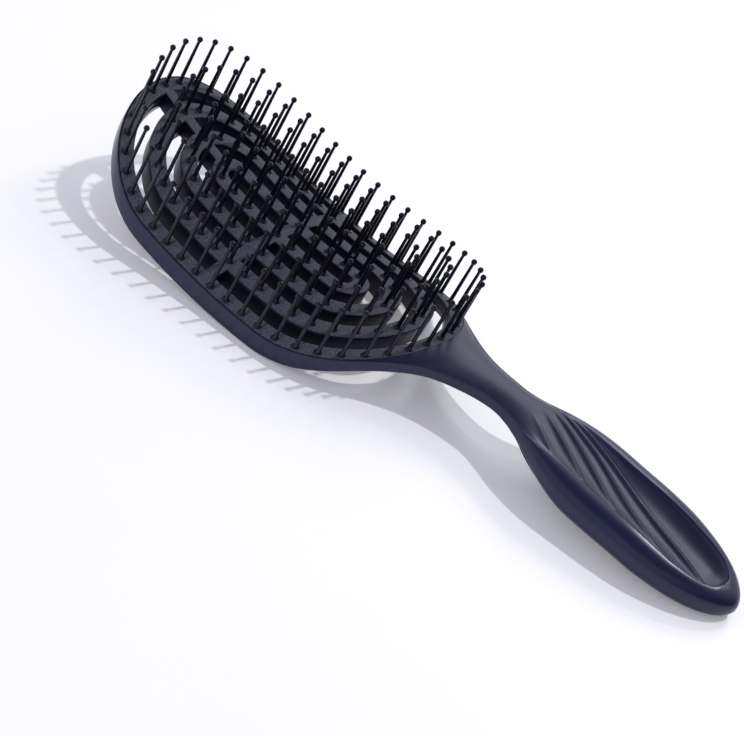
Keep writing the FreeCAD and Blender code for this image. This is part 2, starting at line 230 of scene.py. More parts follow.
def grained_plastic():
    finish = Finish(bpy.data.materials.new("grained_plastic"))
    normal = finish.node("ShaderNodeNewGeometry", {}, {}, "Normal")
    facing = finish.node("ShaderNodeSeparateXYZ", {}, {0: normal}, "Z")
    # Upward faces get the lighter grey, and all others get the near-black painted shade. The same share also makes the
    # tops rougher.
    top = ((facing - 0.45) * 2.4).clipped()
    grain = finish.noise(3000.0, 2.0)
    cloud = finish.noise(200.0, 2.0)
    # Bright specks: the fine grain of the faces, and partly painted glints in place of a lamp's sparkle.
    grain_speck_and_glint = ((grain - 0.36) * 3.6).clipped()
    face = finish.blend(0.75 * grain_speck_and_glint + 0.25 * cloud, *FACE_GREYS)
    colour = finish.blend(top, PAINTED_SHADE_SIDES, face)
    rough = 0.34 + 0.20 * top + 0.08 * grain
    return finish.surface({"Base Color": colour, "Roughness": rough, "IOR": 1.34, "Specular Tint": SHEEN,
                           "Normal": finish.bump(grain, FACE_GRAIN, 0.7)})


GRAINED = grained_plastic()
print("made", GRAINED.name)

# %% Polished nylon of the pins
NYLON_BLACKS = (0.003, 0.003, 0.008, 1), (0.007, 0.007, 0.014, 1)
NYLON_RIPPLE = 0.00005


def polished_nylon():
    finish = Finish(bpy.data.materials.new("polished_nylon"))
    cloud = finish.noise(300.0, 2.0)
    colour = finish.blend(cloud, *NYLON_BLACKS)
    rough = 0.18 + 0.08 * cloud
    return finish.surface({"Base Color": colour, "Roughness": rough, "IOR": 1.42, "Specular Tint": SHEEN,
                           "Normal": finish.bump(cloud, NYLON_RIPPLE, 0.2)})


NYLON = polished_nylon()
print("made", NYLON.name)

# %% [markdown]
# ## From point grids to pieces
# Every surface here is a grid: rows of points that follow a path, joined into four-sided faces.
# A grid keeps the faces even, so highlights run cleanly along the edges, which a cut solid doesn't give.

# %% Grid and piece helpers
SHARP_ANGLE = math.radians(57)
WELD_DISTANCE = 2e-6
NO_LENGTH = 1e-7


def grid_faces(rows, columns, close_rows=False, close_columns=False, first=0):
    """Four-sided faces over a grid of points, stored row by row."""
    faces = []
    for row in range(rows if close_rows else rows - 1):
        for column in range(columns if close_columns else columns - 1):
            next_row = (row + 1) % rows
            next_column = (column + 1) % columns
            faces.append((first + row * columns + column, first + row * columns + next_column,
                          first + next_row * columns + next_column, first + next_row * columns + column))
    return faces


def make_piece(name, points, faces, finish, replaced=(), grained=None):
    """A smooth piece on the part's body: points in drawing millimetres, and how grained each one is."""
    mesh = bpy.data.meshes.new(name)
    mesh.from_pydata([tuple(point) for point in to_part(points)], [], faces)
    if grained is not None:
        mesh.attributes.new("grained", "FLOAT", "POINT").data.foreach_set("value", np.array(grained, np.float32))
    edit = bmesh.new()
    edit.from_mesh(mesh)
    bmesh.ops.remove_doubles(edit, verts=edit.verts, dist=WELD_DISTANCE)
    bmesh.ops.dissolve_degenerate(edit, edges=edit.edges, dist=NO_LENGTH)
    bmesh.ops.recalc_face_normals(edit, faces=edit.faces)
    for face in edit.faces:
        face.smooth = True
    for edge in edit.edges:
        edge.smooth = edge.calc_face_angle(0.0) < SHARP_ANGLE
    edit.to_mesh(mesh)
    edit.free()
    mesh.materials.append(finish)
    piece = bpy.data.objects.new(name, mesh)
    bpy.context.scene.collection.objects.link(piece)
    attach(piece, "root")
    if replaced:
        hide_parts(*replaced)
    print("%-14s %6d faces" % (name, len(mesh.polygons)))
    return piece


# %% [markdown]
# ## The head's saddle and its ovals
# The pin face is a saddle: it bows up towards the two ends and falls away to both sides, like a palm held hollow.
# All rings are ovals about the same straight middle line, so a place on the head is a middle point,
# a direction and a distance. Sweeping an edge profile along those directions makes a ring of any size.

# %% Saddle and oval stations
HEAD_HALF_WIDTH = 37.5
HEAD_STRAIGHT = 45.6
BOW_RADIUS = 194.0
CROWN_RADIUS = 87.0
INNER_ROW = 5.2
ROW_MARGIN = 2.5
SLOT_WIDTH = 4.4
RING_DEPTH = 6.3
SEAT_DEPTH = 2.5
RIM_DEPTH = 5.7
RIM_LIP = 0.7
RIB_WIDTH = 4.0
ROW_STEP = (HEAD_HALF_WIDTH - ROW_MARGIN - INNER_ROW) / 3
HALF_RING = (ROW_STEP - SLOT_WIDTH) / 2
END_STEPS = 48
SIDE_STEPS = 26


def face_height(x, y):
    """Height of the pin face."""
    return x ** 2 / (2 * BOW_RADIUS) - y ** 2 / (2 * CROWN_RADIUS)


def oval_stations():
    """Middle points and outward directions round the head, from the neck end's far side on."""
    half = HEAD_STRAIGHT / 2
    stations = []
    for step in range(SIDE_STEPS):
        stations.append((half - HEAD_STRAIGHT * step / SIDE_STEPS, math.pi / 2))
    for step in range(END_STEPS):
        stations.append((-half, math.pi / 2 + math.pi * step / END_STEPS))
    for step in range(SIDE_STEPS):
        stations.append((-half + HEAD_STRAIGHT * step / SIDE_STEPS, -math.pi / 2))
    for step in range(END_STEPS):
        stations.append((half, -math.pi / 2 + math.pi * step / END_STEPS))
    return stations


STATIONS = oval_stations()
print(len(STATIONS), "stations, rows at", [round(INNER_ROW + k * ROW_STEP, 2) for k in range(4)])


# %% [markdown]
# ## Ring beds
# Each bed is a moulded bar with softly rounded edges, bent into an oval: those edges catch the thin bright lines
# that show where one ring ends and the slot begins. A rounded profile swept round the head gives them directly.
# The three inner beds are deep enough to hide the floor behind them, and the outer one lies on the rim's ledge.

# %% Profiles with rounded corners
BED_EDGE = 0.55
SEATED_EDGE = 0.22
UNDER_EDGE = 0.35
SEAT_GAP = 0.1


def corner(centre, radius, start, turn, steps=4):
    """Points round a corner of a profile, angles in degrees."""
    angles = [math.radians(start + turn * step / steps) for step in range(steps + 1)]
    return [(centre[0] + radius * math.cos(a), centre[1] + radius * math.sin(a)) for a in angles]


def bed_profile(inside, outside, depth, top_in, top_out):
    """A bed's cross-section: distance from the middle line, and height over the pin face."""
    low = UNDER_EDGE
    middle = (inside + outside) / 2
    profile = [(middle, 0.0)]
    profile += corner((outside - top_out, -top_out), top_out, 90, -90)
    profile += corner((outside - low, -depth + low), low, 0, -90, 3)
    profile += corner((inside + low, -depth + low), low, -90, -90, 3)
    profile += corner((inside + top_in, -top_in), top_in, 180, -90)
    return profile


def sweep_oval(profile):
    """Points and faces of a profile carried round the whole head on the saddle."""
    points = []
    for middle, turn in STATIONS:
        for distance, height in profile:
            x = middle + distance * math.cos(turn)
            y = distance * math.sin(turn)
            points.append((x, y, face_height(x, y) + height))
    return points, grid_faces(len(STATIONS), len(profile), True, True)


# %% The four beds
RING_NAMES = ["inner_ring", "third_ring", "second_ring", "outer_ring"]
for number, node in enumerate(RING_NAMES[:3]):
    row = INNER_ROW + number * ROW_STEP
    points, faces = sweep_oval(bed_profile(row - HALF_RING, row + HALF_RING, RING_DEPTH, BED_EDGE, BED_EDGE))
    make_piece(node + "_bed", points, faces, GRAINED, (node,))
OUTER_BORE = INNER_ROW + 3 * ROW_STEP - HALF_RING
LIP_RADIUS = HEAD_HALF_WIDTH - RIM_LIP
points, faces = sweep_oval(bed_profile(OUTER_BORE, LIP_RADIUS - SEAT_GAP, SEAT_DEPTH, BED_EDGE, SEATED_EDGE))
make_piece("outer_ring_bed", points, faces, GRAINED, ("outer_ring",))

# %% [markdown]
# ## Rim
# The rim is the outer wall of the frame: a thin lip beside the outer bed, a smooth wall that leans out a little
# towards the floor, and a ledge underneath that carries the bed. It is swept like the beds.
# Where the neck grows out of the head the wall steps back inside the neck, whose own surface takes over there,
# and just before that the wall gets lower.

# %% Rim profile and sweep
NECK_TURN = math.pi / 4
RIM_THINNING = 1.3
THIN_FROM_X, THIN_RUN_X = 34, 16
THIN_FROM_Y, THIN_RUN_Y = 8, 12
KEPT_TOP = 0.5


def smooth_step(value):
    value = np.clip(value, 0.0, 1.0)
    return value * value * (3 - 2 * value)


def rim_drop(x, y):
    """Depth of the rim under the pin face: it thins towards the two sides of the neck."""
    along = smooth_step((x - THIN_FROM_X) / THIN_RUN_X)
    aside = smooth_step((abs(y) - THIN_FROM_Y) / THIN_RUN_Y)
    return RIM_DEPTH - RIM_THINNING * along * aside


LIP_EDGE = [(LIP_RADIUS, -0.30), (LIP_RADIUS + 0.03, -0.12), (LIP_RADIUS + 0.12, -0.02)]
WALL = [(36.98, 0.0), (37.10, -0.05), (37.19, -0.20), (37.24, -0.5), (37.36, -1.6), (37.45, -2.9), (37.49, -4.2),
        (37.42, -4.9), (37.2, -5.35), (36.85, -5.62), (36.4, -5.7)]
OUTER_PROFILE = LIP_EDGE + WALL
INNER_PROFILE = [(34.5, -5.7), (32.7, -5.7), (32.3, -5.55), (32.13, -5.2), (32.13, -2.9), (32.3, -2.62),
                 (34.5, -2.55), (LIP_RADIUS, -2.55), (LIP_RADIUS, -1.2)]


def lowered(height, depth):
    """A profile height, with all but the top edge pressed up to a smaller depth."""
    if height > -KEPT_TOP:
        return height
    return -KEPT_TOP + (height + KEPT_TOP) * (depth - KEPT_TOP) / (RIM_DEPTH - KEPT_TOP)


def rim_points(middle, turn, profile):
    placed = []
    for distance, height in profile:
        x = middle + distance * math.cos(turn)
        y = distance * math.sin(turn)
        placed.append((x, y, face_height(x, y) + lowered(height, rim_drop(x, y))))
    return placed


HIDDEN_WALL = LIP_RADIUS + 0.05
HIDDEN_TOP = -0.9
HIDDEN_PROFILE = [(min(distance, HIDDEN_WALL), min(height, HIDDEN_TOP)) for distance, height in OUTER_PROFILE]
rim_rows = []
for middle, turn in STATIONS:
    in_neck = middle == HEAD_STRAIGHT / 2 and abs(turn) < NECK_TURN - 1e-6
    rim_rows += rim_points(middle, turn, (HIDDEN_PROFILE if in_neck else OUTER_PROFILE) + INNER_PROFILE)
rim_faces = grid_faces(len(STATIONS), len(OUTER_PROFILE) + len(INNER_PROFILE), True, True)
make_piece("rim", rim_rows, rim_faces, SATIN, ("handle_frame",))

# %% [markdown]
# ## Ribs
# A cross rib at mid head and a short one at the head's end carry the three inner beds.
# They bridge the slots flush with the ring faces, and run on under the beds as long carriers.
# A carrier is a hair slimmer than a bridge, because two sides in one plane would show black flecks.

# %% Ribs and bridges
RIB_EDGE = 0.45
BRIDGE_TOP = -0.04
CARRIER_TOP = -3.0
CARRIER_REACH = 33.5
CARRIER_INSET = 0.08


def rib_profile(top, inset):
    """A rib's cross-section: sideways place and height."""
    half = RIB_WIDTH / 2 - inset
    profile = [(0.0, top)]
    under = -RIM_DEPTH + UNDER_EDGE + inset
    profile += corner((half - RIB_EDGE, top - RIB_EDGE), RIB_EDGE, 90, -90, 3)
    profile += corner((half - UNDER_EDGE, under), UNDER_EDGE, 0, -90, 3)
    profile += corner((-half + UNDER_EDGE, under), UNDER_EDGE, -90, -90, 3)
    profile += corner((-half + RIB_EDGE, top - RIB_EDGE), RIB_EDGE, 180, -90, 3)
    return profile


def sweep_bar(start, finish, top, along_y, steps=5, inset=0.0):
    """One straight stretch of rib between two distances along its axis."""
    profile = rib_profile(top, inset)
    points = []
    for step in range(steps + 1):
        travel = start + (finish - start) * step / steps
        for side, height in profile:
            x, y = (side, travel) if along_y else (travel, side)
            points.append((x, y, face_height(x, y) + height))
    count = len(profile)
    faces = grid_faces(steps + 1, count, False, True)
    faces.append(tuple(range(count)))
    faces.append(tuple(range(steps * count, (steps + 1) * count)))
    return points, faces


rib_points, rib_faces = [], []


def add_bar(*span):
    points, faces = sweep_bar(*span)
    offset = len(rib_points)
    rib_points.extend(points)
    rib_faces.extend(tuple(index + offset for index in face) for face in faces)


OVERLAP = 0.5
HALF_STRAIGHT = HEAD_STRAIGHT / 2
add_bar(-(INNER_ROW - HALF_RING) - OVERLAP, INNER_ROW - HALF_RING + OVERLAP, BRIDGE_TOP, True)
for number in range(3):
    low = INNER_ROW + number * ROW_STEP + HALF_RING - OVERLAP
    high = INNER_ROW + (number + 1) * ROW_STEP - HALF_RING + OVERLAP
    add_bar(low, high, BRIDGE_TOP, True)
    add_bar(-high, -low, BRIDGE_TOP, True)
    add_bar(-HALF_STRAIGHT - high, -HALF_STRAIGHT - low, BRIDGE_TOP, False)
add_bar(-CARRIER_REACH, CARRIER_REACH, CARRIER_TOP, True, 30, CARRIER_INSET)
add_bar(-HALF_STRAIGHT - CARRIER_REACH, -HALF_STRAIGHT - INNER_ROW, CARRIER_TOP, False, 16, CARRIER_INSET)
make_piece("ribs", rib_points, rib_faces, GRAINED, ("handle_frame",))

# %% [markdown]
# ## Neck and grip
# The neck leaves the head as a shallow shell with a crisp edge, waists to a slim strip, and swells into the grip,
# whose border is a fat rounded tube round a fluted panel. It is a loft: a row of cross-sections
# with the same number of points each. The first row is bent to follow the rim, so the head and the neck flow together.
# Sizes along the handle are smooth curves through a few measured places. Round the heel the border keeps one shape
# along rays from a focus, which cross-sections alone would pinch. Between the creases the top is sunk into a pocket,
# where the panel lies, and a strip of faces closes the root, so the piece is a closed body.

# %% Smooth curves through measured places
def smooth_curve(knots):
    """A curve through the knots that never overshoots between them."""
    xs = np.array([knot[0] for knot in knots], float)
    ys = np.array([knot[1] for knot in knots], float)
    step = np.diff(xs)
    slope = np.diff(ys) / step
    tangent = np.zeros(len(xs))
    tangent[0], tangent[-1] = slope[0], slope[-1]
    for k in range(1, len(xs) - 1):
        if slope[k - 1] * slope[k] > 0:
            before = 2 * step[k] + step[k - 1]
            after = step[k] + 2 * step[k - 1]
            tangent[k] = (before + after) / (before / slope[k - 1] + after / slope[k])

    def curve(x):
        x = min(max(x, xs[0]), xs[-1])
        k = min(max(int(np.searchsorted(xs, x)) - 1, 0), len(step) - 1)
        t = (x - xs[k]) / step[k]
        return ((1 + 2 * t) * (1 - t) ** 2 * ys[k] + t * (1 - t) ** 2 * step[k] * tangent[k]
                + t * t * (3 - 2 * t) * ys[k + 1] + t * t * (t - 1) * step[k] * tangent[k + 1])
    return curve


NECK_START = HALF_STRAIGHT + HEAD_HALF_WIDTH * math.cos(NECK_TURN)
NECK_SIDE = HEAD_HALF_WIDTH * math.sin(NECK_TURN)
HANDLE_END = 169.75
PANEL_END = 163.4
TAPER_START, TAPER_WIDTH = 140, 17.2
TAPER_INNER, TAPER_OUTER = 1.6, 1.8
THIN_START, THIN_DEPTH, THIN_POWER = 150, 5.7, 2.3
BORDER_START = 92
body_width = smooth_curve([(NECK_START, NECK_SIDE), (52, 23.6), (54.8, 20.8), (57.7, 18.0), (61, 15.2),
                           (64.7, 12.7), (69.7, 10.4), (74.7, 8.8), (79.7, 7.8), (84.7, 7.4), (89.7, 8.2),
                           (94.7, 10.2), (99.7, 12.7), (104.7, 14.7), (109.7, 16.2), (114.7, 17.1),
                           (119.7, 17.5), (129.7, 17.5), (TAPER_START, TAPER_WIDTH)])
middle_height = smooth_curve([(NECK_START, 0.9), (54.8, 3.3), (62, 5.4), (72, 7.1), (84.7, 8.9), (95, 9.3),
                              (106, 8.8), (119, 8.0), (138, 8.6), (155, 8.5), (170, 8.3)])
body_thick = smooth_curve([(NECK_START, 5.3), (54.8, 4.5), (62, 3.65), (72, 3.2), (84.7, 3.1), (95, 4.0),
                           (106, 5.2), (119, 6.3), (138, 6.1), (THIN_START, THIN_DEPTH)])
edge_wall = smooth_curve([(NECK_START, 2.2), (54.8, 1.95), (62, 1.6), (72, 1.4), (84.7, 1.4), (95, 2.0), (106, 3.0),
                          (170, 3.0)])
crease_far_out = smooth_curve([(93, 8.6), (96.5, 9.7), (99.5, 10.3), (104.5, 10.8), (112, 11.1), (130, 11.2),
                               (143, 10.9), (149, 10.4), (154, 9.4), (158, 7.9), (161.0, 5.8), (162.7, 3.3),
                               (PANEL_END, 0.0)])
panel_dish = smooth_curve([(86, 0.0), (100, 0.35), (112, 1.2), (125, 2.1), (148, 2.8), (158, 2.5), (162, 1.4),
                           (PANEL_END, 0.3)])


def half_width(x):
    """Half the width of the handle."""
    if x <= TAPER_START:
        return body_width(x)
    share = min((x - TAPER_START) / (HANDLE_END - TAPER_START), 1.0)
    return TAPER_WIDTH * (1 - share ** TAPER_INNER) ** (1 / TAPER_OUTER)


def half_thick(x):
    """Half the thickness of the handle."""
    if x <= THIN_START:
        return body_thick(x)
    share = min((x - THIN_START) / (HANDLE_END - THIN_START), 1.0)
    return THIN_DEPTH * math.sqrt(max(1 - share ** THIN_POWER, 0.0))


def edge_lip(x):
    """Width of the lip beside the crease."""
    return RIM_LIP * min(1.0, half_width(x) / 5)


def crease(x):
    """Sideways place of the crease: along the edge on the neck, then inside the grip's fat border."""
    along_edge = half_width(x) - edge_lip(x)
    return along_edge if x <= BORDER_START else min(along_edge, crease_far_out(x))


print("widest grip", round(2 * half_width(122), 1), "slimmest neck", round(2 * half_width(84.7), 1))

# %% Cross-sections of the handle
TOP_SPAN = 26
TOP_STEPS = [1 - (1 - step / TOP_SPAN) ** 1.25 for step in range(TOP_SPAN)]
LOW_STEPS = [0.98, 0.93, 0.85, 0.75, 0.63, 0.5, 0.37, 0.24, 0.12, 0.0]
ROUNDNESS = 2.4
EDGE_ANGLE = math.radians(24)
GRIP_START, GRIP_RUN = 86, 22
WALL_SHARE = 0.6
NECK_POWER, DISH_POWER = 2.5, 3.2
ROLL_START = 0.86
HEEL_FOCUS = 146.0
BORDER_POWER = 2.4
HALVINGS = 30
UNDER_INSET = 1.1


def oval_height(share):
    """Height share of the grip's rounded cross-section at a share of its half width."""
    return max(1 - min(share, 1.0) ** ROUNDNESS, 0.0) ** (1 / ROUNDNESS)


def grip_share(x):
    """0 on the slim neck, 1 on the rounded grip."""
    return float(smooth_step((x - GRIP_START) / GRIP_RUN))


def crease_height(x):
    """Height of the crease, which is the crest of the grip's border."""
    wide, thick, middle = half_width(x), half_thick(x), middle_height(x)
    wall = min(edge_wall(x), WALL_SHARE * thick)
    share = crease(x) / wide if wide > 0 else 0.0
    slim = middle + wall + (thick - wall) * (1 - share ** 2)
    fat = middle + thick * oval_height(share)
    return slim + (fat - slim) * grip_share(x)


def top_height(x, y):
    """Height of the top between the creases: crowned on the neck, dished on the grip."""
    reach = crease(x)
    share = min(abs(y) / reach, 1.0) if reach > 1e-6 else 1.0
    crown = middle_height(x) + half_thick(x) - crease_height(x)
    grip = grip_share(x)
    bulge = crown + (-panel_dish(x) - crown) * grip if x < PANEL_END else 0.0
    power = NECK_POWER + (DISH_POWER - NECK_POWER) * grip
    rolled = power * grip * (1 - share) * max(0.0, (share - ROLL_START) / (1 - ROLL_START)) ** 2
    return crease_height(x) + bulge * (1 - share ** power - rolled)


def ray_reach(slope_x, slope_y, outline):
    """How far a ray from the heel's focus runs before it leaves an outline."""
    near, far = 0.0, HANDLE_END - HEEL_FOCUS
    for _ in range(HALVINGS):
        reach = (near + far) / 2
        x = HEEL_FOCUS + reach * slope_x
        inside = x < HANDLE_END and reach * slope_y < outline(x)
        near, far = (reach, far) if inside else (near, reach)
    return near


def heel_height(x, y):
    """Height of the border round the heel: a quarter oval along each ray from the focus."""
    distance = math.hypot(x - HEEL_FOCUS, y)
    ray = ((x - HEEL_FOCUS) / distance, y / distance)
    inner, outer = ray_reach(*ray, crease), ray_reach(*ray, half_width)
    share = min(max((distance - inner) / max(outer - inner, 1e-6), 0.0), 1.0)
    crest = HEEL_FOCUS + inner * ray[0]
    rise = (1 - share ** BORDER_POWER) ** (1 / BORDER_POWER)
    return middle_height(x) + (crease_height(crest) - middle_height(crest)) * rise


def half_section(x):
    """Half a cross-section: sideways places and heights from the top middle, round the edge, to the bottom middle."""
    wide, thick, middle = half_width(x), half_thick(x), middle_height(x)
    wall = min(edge_wall(x), WALL_SHARE * thick)
    lip = edge_lip(x)
    fold = crease(x)
    grip = grip_share(x)
    places = [fold * step for step in TOP_STEPS]
    heights = [top_height(x, place) if x < PANEL_END else heel_height(x, place) for place in places]
    low_edge = middle - wall
    high_edge = crease_height(x)
    for number, (distance, height) in enumerate(OUTER_PROFILE):
        share = number / (len(OUTER_PROFILE) - 1)
        thin_y = fold + (wide - fold) * (distance - LIP_RADIUS) / RIM_LIP
        thin_z = high_edge + (low_edge - high_edge) * (-height / RIM_DEPTH)
        turn = (math.pi / 2 + EDGE_ANGLE) * share
        if turn < math.pi / 2:
            fat_y = fold + (wide - fold) * math.sin(turn) ** (2 / BORDER_POWER)
            fat_z = middle + (high_edge - middle) * math.cos(turn) ** (2 / BORDER_POWER)
            if x > HEEL_FOCUS:
                fat_z = heel_height(x, fat_y)
        else:
            fat_y = wide * math.sin(turn) ** (2 / ROUNDNESS)
            fat_z = middle - thick * (-math.cos(turn)) ** (2 / ROUNDNESS)
        places.append(thin_y + (fat_y - thin_y) * grip)
        heights.append(thin_z + (fat_z - thin_z) * grip)
    edge_share = math.cos(EDGE_ANGLE) ** (2 / ROUNDNESS)
    for step in LOW_STEPS:
        thin_y = (wide - UNDER_INSET * lip / RIM_LIP) * step
        thin_z = middle - wall - (thick - wall) * (1 - step ** 2)
        fat_y = wide * edge_share * step
        fat_z = middle - thick * oval_height(fat_y / wide) if wide > 0 else middle
        places.append(thin_y + (fat_y - thin_y) * grip)
        heights.append(thin_z + (fat_z - thin_z) * grip)
    return places, heights


print("points in half a section:", len(half_section(100)[0]))

# %% Rows from the bent start to the heel
ROOT_BULGE = LIP_RADIUS * (1 - math.cos(NECK_TURN))
ROOT_RUN = 24.0
ROOT_FADE = 16.0
ROOT_SINK = 0.03
UNDER_RADIUS = 36.4
HEEL_ROWS = 156
FLOOR_GAP = 0.02
PLATE_THICK = 1.3
PLATE_GAP = 0.1


def neck_root():
    """The first row: the rim's own points at the neck, from the top middle to the bottom middle."""
    row = []
    for step in TOP_STEPS:
        turn = NECK_TURN * step
        x = HALF_STRAIGHT + LIP_RADIUS * math.cos(turn)
        y = LIP_RADIUS * math.sin(turn)
        row.append((x, y, face_height(x, y) - ROOT_SINK))
    row += rim_points(HALF_STRAIGHT, NECK_TURN, OUTER_PROFILE)
    for step in LOW_STEPS:
        turn = NECK_TURN * step
        x = HALF_STRAIGHT + UNDER_RADIUS * math.cos(turn)
        y = UNDER_RADIUS * math.sin(turn)
        row.append((x, y, face_height(x, y) - rim_drop(x, y)))
    return np.array(row)


ROOT = neck_root()
PANEL_START = 88.0
row_edges = list(np.linspace(NECK_START, PANEL_START, 40))
row_edges += [PANEL_START + 0.2] + list(np.linspace(PANEL_START, HEEL_ROWS, 80))[1:]
row_edges += list(HEEL_ROWS + (PANEL_END - HEEL_ROWS) * np.sin(np.linspace(0, math.pi / 2, 18)))[1:]
row_edges += list(PANEL_END + (HANDLE_END - PANEL_END) * np.sin(np.linspace(0, math.pi / 2, 16)))[1:]


def low_height(x, y):
    """Height of the underside, for the bent rows of the neck."""
    wall = min(edge_wall(x), WALL_SHARE * half_thick(x))
    share = min(abs(y) / half_width(x), 1.0)
    return middle_height(x) - wall - (half_thick(x) - wall) * (1 - share ** 2)


def floor_line(x):
    """Drawing height of the floor: nothing goes under it."""
    return (x * math.sin(REST_PITCH) - REST_UP + FLOOR_GAP) / math.cos(REST_PITCH)


def handle_row(edge):
    """One row of the loft, bent towards the head near the root: each point keeps the height of its own place."""
    near_root = 1 - float(smooth_step((edge - NECK_START) / ROOT_RUN))
    places, heights = half_section(edge)
    wide = half_width(edge)
    row = []
    for number, (place, height) in enumerate(zip(places, heights)):
        share = min(place / wide, 1.0) if wide > 0 else 0.0
        bend = (math.cos(NECK_TURN * share) - math.cos(NECK_TURN)) / (1 - math.cos(NECK_TURN))
        x = edge + ROOT_BULGE * near_root * bend
        if near_root > 0 and number < TOP_SPAN:
            height = top_height(x, place)
        elif near_root > 0 and number >= len(places) - len(LOW_STEPS):
            height = low_height(x, place)
        row.append((x, place, max(height, floor_line(x))))
    return np.array(row)


def bent_heights(row, edge):
    """Fades the first row's own shape, which is the rim's, into the neck."""
    fade = 1 - float(smooth_step((edge - NECK_START) / ROOT_FADE))
    if fade <= 0:
        return row
    shift = ROOT - handle_row(NECK_START)
    return row + shift * fade


def plate_depth(x):
    """Thickness of the panel under the crease."""
    return PLATE_THICK + panel_dish(x)


def pocket(row, edge):
    """Sinks the top between the creases, so the handle has a floor under the panel."""
    if PANEL_START + 1e-6 < edge < PANEL_END - 1e-6:
        row[:TOP_SPAN, 2] = crease_height(edge) - plate_depth(edge) - PLATE_GAP
    return row


half_rows = [pocket(bent_heights(handle_row(edge), edge), edge) for edge in row_edges]
print(len(half_rows), "rows")

# %% Both halves of the handle
handle_points, handle_faces, handle_grain = [], [], []
section_points = len(half_rows[0])


def root_faces(first):
    """Closes half of the root with a strip between its top and its underside, from the middle out to the edge."""
    split = first + TOP_SPAN + len(OUTER_PROFILE) // 2
    top = list(range(first, split))
    low = list(range(first + section_points - 1, split - 1, -1))
    top_reach = [abs(handle_points[number][1]) for number in top]
    low_reach = [abs(handle_points[number][1]) for number in low]
    faces, i, j = [], 0, 0
    while i < len(top) - 1 or j < len(low) - 1:
        low_done = j == len(low) - 1
        if low_done or (i < len(top) - 1 and top_reach[i + 1] <= low_reach[j + 1]):
            faces.append((top[i], top[i + 1], low[j]))
            i += 1
        else:
            faces.append((top[i], low[j + 1], low[j]))
            j += 1
    return faces


for side in (-1, 1):
    offset = len(handle_points)
    for row in half_rows:
        handle_points.extend((x, side * y, z) for x, y, z in row)
        handle_grain.extend(1.0 if column < TOP_SPAN else 0.0 for column in range(section_points))
    for row in range(len(half_rows) - 1):
        for column in range(section_points - 1):
            here = offset + row * section_points + column
            handle_faces.append((here, here + 1, here + 1 + section_points, here + section_points))
    handle_faces += root_faces(offset)
make_piece("neck_and_grip", handle_points, handle_faces, SATIN, ("handle_frame",), handle_grain)

# %% [markdown]
# ## Grip panel
# The panel is a long dished plate with wave flutes that flow from the far side of the neck towards the near rim.
# On the real one each wave has a soft hollow and a fine ridge. A height over a fine grid gives that:
# the ridges are whole numbers of a wave count that follows a bent line, and the hollows lie between them.
# Its edges lie on the crease of the grip, and its start lies on the neck's own surface, so no step shows there.
# Sides and a flat back close it into a plate that fills the pocket.

# %% Fluted panel
wave_lead = smooth_curve([(-13.0, 48.0), (-12.0, 46.0), (-9.0, 42.0), (-5.0, 36.0), (-1.0, 28.0), (2.6, 20.0),
                          (5.8, 10.0), (8.0, 0.0), (13.0, -26.0)])
WAVE_PITCH = 12.3
WAVE_FIRST = 62.0
WAVE_HEIGHT = 0.75
WAVE_LEVEL = 0.25
WAVE_LAST = 4.5
RIDGE_BLUNT = 0.006
FAN_START, FAN_RUN, FAN_OUT = 128, 28, 0.2


def panel_height(x, y):
    """Height of the fluted panel."""
    reach = max(crease(x), 1e-3)
    share = min(abs(y) / reach, 1.0)
    fan = 1 - FAN_OUT * float(smooth_step((x - FAN_START) / FAN_RUN))
    count = fan * (x - wave_lead(y) - WAVE_FIRST) / WAVE_PITCH
    ridge = (1.02 - math.sqrt(math.sin(math.pi * count) ** 2 + RIDGE_BLUNT)) ** 2.0
    fade = float(smooth_step((x - 91) / 14) * smooth_step((0.95 - share) / 0.2)
                 * smooth_step((WAVE_LAST - count) / 0.45) * smooth_step((PANEL_END - x) / 4))
    return top_height(x, y) + WAVE_HEIGHT * fade * (ridge - WAVE_LEVEL)


PANEL_ROWS = 270
PANEL_COLUMNS = 96
BACK_SHARE = 0.94
GRAIN_EDGE, GRAIN_FADE = 0.80, 0.12
panel_points, panel_grain = [], []
for row in range(PANEL_ROWS + 1):
    travel = row / PANEL_ROWS
    x = PANEL_START + (PANEL_END - PANEL_START) * travel * (1.35 - 0.35 * travel)
    reach = crease(x)
    for column in range(PANEL_COLUMNS + 1):
        share = 2 * column / PANEL_COLUMNS - 1
        y = reach * share
        panel_points.append((x, y, panel_height(x, y)))
        panel_grain.append(1 - float(smooth_step((abs(share) - GRAIN_EDGE) / GRAIN_FADE)))
panel_faces = grid_faces(PANEL_ROWS + 1, PANEL_COLUMNS + 1)
under = len(panel_points)
wide = PANEL_COLUMNS + 1
for row in range(PANEL_ROWS + 1):
    x = panel_points[row * wide][0]
    for side in (-BACK_SHARE, BACK_SHARE):
        panel_points.append((x, side * crease(x), crease_height(x) - plate_depth(x)))
        panel_grain.append(0.0)
for row in range(PANEL_ROWS):
    near, far = row * wide, row * wide + PANEL_COLUMNS
    low = under + 2 * row
    panel_faces.append((low, low + 1, low + 3, low + 2))
    panel_faces.append((near, near + wide, low + 2, low))
    panel_faces.append((far, low + 1, low + 3, far + wide))
panel_faces.append(tuple(range(wide)) + (under + 1, under))
make_piece("grip_panel", panel_points, panel_faces, SATIN, ("grip_inlay",), panel_grain)

# %% [markdown]
# ## Pins
# A pin is a slim tapered nylon rod with a ball tip, pushed into the bed, with a small dark collar at its foot.
# Turning one outline round an axis gives it. The collar leans with the pin face, and the rod stands upright.
# All pins of a ring are one piece, as in the frame, and each larger ring carries ten more.

